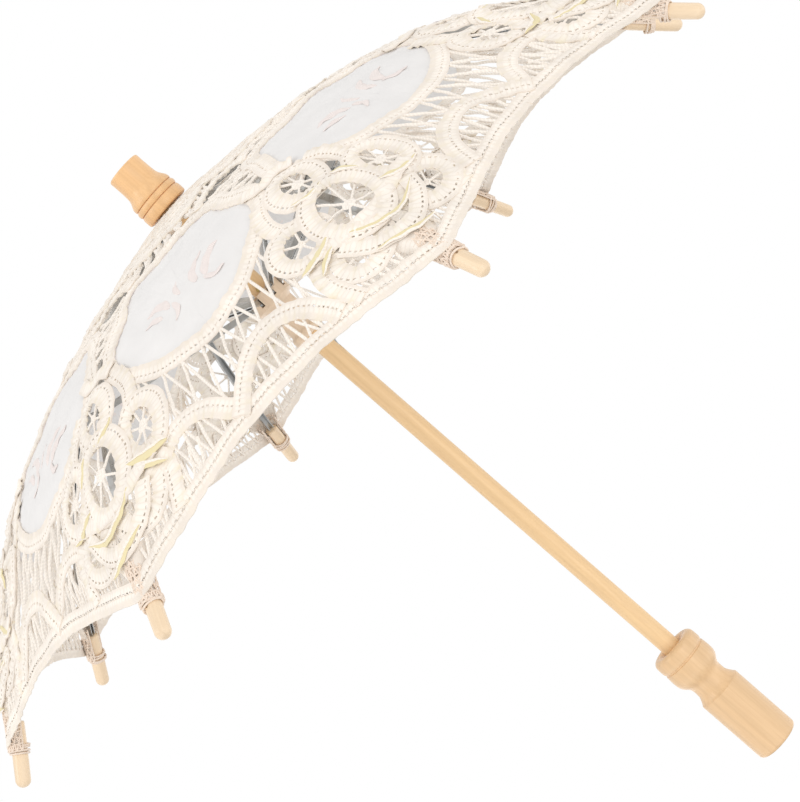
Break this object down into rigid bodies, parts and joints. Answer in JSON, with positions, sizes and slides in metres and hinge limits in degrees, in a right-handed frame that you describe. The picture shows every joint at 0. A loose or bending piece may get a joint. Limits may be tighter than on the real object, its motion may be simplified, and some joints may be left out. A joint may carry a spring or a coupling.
{
  "type": "lace parasol",
  "caption": "Small open parasol: turned wooden stick, bowed steel ribs with wooden tips, and a scalloped canopy of cotton tape lace. Folds by a sliding runner.",
  "frame": {"origin": "centre of the flat end face of the handle", "axes": "+Z along the shaft from the handle to the finial, +X along the first rib when open"},
  "size_m": [0.4332, 0.4332, 0.362],
  "materials": {
    "shaft_wood": "clear satin lacquer over pale straight grain",
    "handle_wood": "clear satin lacquer over pale turned wood",
    "finial_wood": "clear satin lacquer over pale turned wood",
    "tip_wood": "clear satin lacquer over pale wood",
    "runner_wood": "plain sanded wood",
    "steel": "bright drawn steel",
    "brass": "plain brass",
    "lace": "matt cotton tape and thread"
  },
  "bodies": {
    "stick": {"shaft": "shaft_wood", "handle": "handle_wood", "finial": "finial_wood", "lace_crown": "lace", "top_notch": "runner_wood", "notch_wire": "steel", "stop_pin": "brass"},
    "catch": {"catch_spring": "steel"},
    "runner": {"runner": "runner_wood", "runner_wire": "steel"},
    "rib_arm_1": {"rib_1": "steel", "rib_tip_1": "tip_wood", "joint_rivet_1": "brass", "lace_panel_1": "lace"},
    "stretcher_arm_1": {"stretcher_1": "steel"},
    "rib_arm_2": {"rib_2": "steel", "rib_tip_2": "tip_wood", "joint_rivet_2": "brass", "lace_panel_2": "lace"},
    "stretcher_arm_2": {"stretcher_2": "steel"},
    "rib_arm_3": {"rib_3": "steel", "rib_tip_3": "tip_wood", "joint_rivet_3": "brass", "lace_panel_3": "lace"},
    "stretcher_arm_3": {"stretcher_3": "steel"},
    "rib_arm_4": {"rib_4": "steel", "rib_tip_4": "tip_wood", "joint_rivet_4": "brass", "lace_panel_4": "lace"},
    "stretcher_arm_4": {"stretcher_4": "steel"},
    "rib_arm_5": {"rib_5": "steel", "rib_tip_5": "tip_wood", "joint_rivet_5": "brass", "lace_panel_5": "lace"},
    "stretcher_arm_5": {"stretcher_5": "steel"},
    "rib_arm_6": {"rib_6": "steel", "rib_tip_6": "tip_wood", "joint_rivet_6": "brass", "lace_panel_6": "lace"},
    "stretcher_arm_6": {"stretcher_6": "steel"},
    "rib_arm_7": {"rib_7": "steel", "rib_tip_7": "tip_wood", "joint_rivet_7": "brass", "lace_panel_7": "lace"},
    "stretcher_arm_7": {"stretcher_7": "steel"},
    "rib_arm_8": {"rib_8": "steel", "rib_tip_8": "tip_wood", "joint_rivet_8": "brass", "lace_panel_8": "lace"},
    "stretcher_arm_8": {"stretcher_8": "steel"}
  },
  "joints": [
    {"name": "rib_hinge_1", "type": "hinge", "parent": "stick", "child": "rib_arm_1", "pos_m": [0.008, 0, 0.3324], "axis": [0, 1, 0], "range_deg": [0, 62], "deforming": ["lace_panel_1", "catch_spring"]},
    {"name": "stretcher_hinge_1", "type": "hinge", "parent": "rib_arm_1", "child": "stretcher_arm_1", "pos_m": [0.10628, 0, 0.30754], "axis": [0, 1, 0], "range_deg": [-124, 0]},
    {"name": "rib_hinge_2", "type": "hinge", "parent": "stick", "child": "rib_arm_2", "pos_m": [0.00566, 0.00566, 0.3324], "axis": [-0.7071, 0.7071, 0], "range_deg": [0, 62], "deforming": ["lace_panel_2"]},
    {"name": "stretcher_hinge_2", "type": "hinge", "parent": "rib_arm_2", "child": "stretcher_arm_2", "pos_m": [0.07515, 0.07515, 0.30754], "axis": [-0.7071, 0.7071, 0], "range_deg": [-124, 0]},
    {"name": "rib_hinge_3", "type": "hinge", "parent": "stick", "child": "rib_arm_3", "pos_m": [0, 0.008, 0.3324], "axis": [-1, 0, 0], "range_deg": [0, 62], "deforming": ["lace_panel_3"]},
    {"name": "stretcher_hinge_3", "type": "hinge", "parent": "rib_arm_3", "child": "stretcher_arm_3", "pos_m": [0, 0.10628, 0.30754], "axis": [-1, 0, 0], "range_deg": [-124, 0]},
    {"name": "rib_hinge_4", "type": "hinge", "parent": "stick", "child": "rib_arm_4", "pos_m": [-0.00566, 0.00566, 0.3324], "axis": [-0.7071, -0.7071, 0], "range_deg": [0, 62], "deforming": ["lace_panel_4"]},
    {"name": "stretcher_hinge_4", "type": "hinge", "parent": "rib_arm_4", "child": "stretcher_arm_4", "pos_m": [-0.07515, 0.07515, 0.30754], "axis": [-0.7071, -0.7071, 0], "range_deg": [-124, 0]},
    {"name": "rib_hinge_5", "type": "hinge", "parent": "stick", "child": "rib_arm_5", "pos_m": [-0.008, 0, 0.3324], "axis": [0, -1, 0], "range_deg": [0, 62], "deforming": ["lace_panel_5"]},
    {"name": "stretcher_hinge_5", "type": "hinge", "parent": "rib_arm_5", "child": "stretcher_arm_5", "pos_m": [-0.10628, 0, 0.30754], "axis": [0, -1, 0], "range_deg": [-124, 0]},
    {"name": "rib_hinge_6", "type": "hinge", "parent": "stick", "child": "rib_arm_6", "pos_m": [-0.00566, -0.00566, 0.3324], "axis": [0.7071, -0.7071, 0], "range_deg": [0, 62], "deforming": ["lace_panel_6"]},
    {"name": "stretcher_hinge_6", "type": "hinge", "parent": "rib_arm_6", "child": "stretcher_arm_6", "pos_m": [-0.07515, -0.07515, 0.30754], "axis": [0.7071, -0.7071, 0], "range_deg": [-124, 0]},
    {"name": "rib_hinge_7", "type": "hinge", "parent": "stick", "child": "rib_arm_7", "pos_m": [0, -0.008, 0.3324], "axis": [1, 0, 0], "range_deg": [0, 62], "deforming": ["lace_panel_7"]},
    {"name": "stretcher_hinge_7", "type": "hinge", "parent": "rib_arm_7", "child": "stretcher_arm_7", "pos_m": [0, -0.10628, 0.30754], "axis": [1, 0, 0], "range_deg": [-124, 0]},
    {"name": "rib_hinge_8", "type": "hinge", "parent": "stick", "child": "rib_arm_8", "pos_m": [0.00566, -0.00566, 0.3324], "axis": [0.7071, 0.7071, 0], "range_deg": [0, 62], "deforming": ["lace_panel_8"]},
    {"name": "stretcher_hinge_8", "type": "hinge", "parent": "rib_arm_8", "child": "stretcher_arm_8", "pos_m": [0.07515, -0.07515, 0.30754], "axis": [0.7071, 0.7071, 0], "range_deg": [-124, 0]},
    {"name": "runner_hinge", "type": "hinge", "parent": "stretcher_arm_1", "child": "runner", "pos_m": [0.008, 0, 0.28268], "axis": [0, 1, 0], "range_deg": [0, 62]},
    {"name": "catch_press", "type": "hinge", "parent": "stick", "child": "catch", "pos_m": [0, 0, 0.24638], "axis": [0.3827, -0.9239, 0], "range_deg": [0, 14], "stiffness_Nm_per_rad": 0.02}
  ],
  "couplings": [
    {"joint": "stretcher_hinge_1", "follows": "rib_hinge_1", "ratio": -2},
    {"joint": "rib_hinge_2", "follows": "rib_hinge_1", "ratio": 1},
    {"joint": "stretcher_hinge_2", "follows": "rib_hinge_1", "ratio": -2},
    {"joint": "rib_hinge_3", "follows": "rib_hinge_1", "ratio": 1},
    {"joint": "stretcher_hinge_3", "follows": "rib_hinge_1", "ratio": -2},
    {"joint": "rib_hinge_4", "follows": "rib_hinge_1", "ratio": 1},
    {"joint": "stretcher_hinge_4", "follows": "rib_hinge_1", "ratio": -2},
    {"joint": "rib_hinge_5", "follows": "rib_hinge_1", "ratio": 1},
    {"joint": "stretcher_hinge_5", "follows": "rib_hinge_1", "ratio": -2},
    {"joint": "rib_hinge_6", "follows": "rib_hinge_1", "ratio": 1},
    {"joint": "stretcher_hinge_6", "follows": "rib_hinge_1", "ratio": -2},
    {"joint": "rib_hinge_7", "follows": "rib_hinge_1", "ratio": 1},
    {"joint": "stretcher_hinge_7", "follows": "rib_hinge_1", "ratio": -2},
    {"joint": "rib_hinge_8", "follows": "rib_hinge_1", "ratio": 1},
    {"joint": "stretcher_hinge_8", "follows": "rib_hinge_1", "ratio": -2},
    {"joint": "runner_hinge", "follows": "rib_hinge_1", "ratio": 1}
  ]
}
